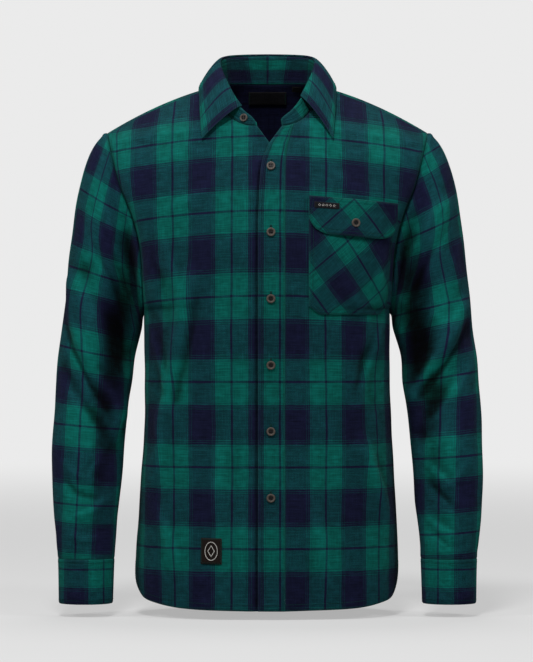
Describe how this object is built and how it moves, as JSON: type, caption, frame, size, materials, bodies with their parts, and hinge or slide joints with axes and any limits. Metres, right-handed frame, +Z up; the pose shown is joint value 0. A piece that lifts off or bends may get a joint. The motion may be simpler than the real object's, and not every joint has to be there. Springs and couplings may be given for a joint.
{
  "type": "flannel shirt",
  "caption": "Long-sleeved checked flannel shirt, filled out as worn and hollow, with a turned-down collar, button placket, chest pocket with flap and buttoned cuffs.",
  "frame": {"origin": "middle of the neck opening, level with the tops of the shoulders, where the wearer's neck and shoulders hold the shirt", "axes": "+Z up along the body from hem to collar, -Y out of the front, +X to the wearer's left"},
  "size_m": [0.5946, 0.2387, 0.7693],
  "materials": {
    "flannel": "brushed cotton twill in a green and navy check",
    "buttons": "semi-gloss grey-brown with a darker middle",
    "labels": "plain dark woven tape",
    "patch": "matt dark brown with pale stitching"
  },
  "bodies": {
    "root": {"front_left": "flannel", "front_right": "flannel", "back": "flannel", "yoke": "flannel", "placket": "flannel", "collar_stand": "flannel", "collar_leaf": "flannel", "sleeve_left": "flannel", "sleeve_right": "flannel", "cuff_left": "flannel", "cuff_right": "flannel", "sleeve_placket_left": "flannel", "sleeve_placket_right": "flannel", "pocket": "flannel", "pocket_flap": "flannel", "button_front_1": "buttons", "button_front_2": "buttons", "button_front_3": "buttons", "button_front_4": "buttons", "button_front_5": "buttons", "button_front_6": "buttons", "button_pocket": "buttons", "button_collar": "buttons", "button_cuff_left": "buttons", "button_cuff_right": "buttons", "label_neck": "labels", "label_size": "labels", "label_flap": "labels", "hem_patch": "patch"}
  },
  "joints": []
}
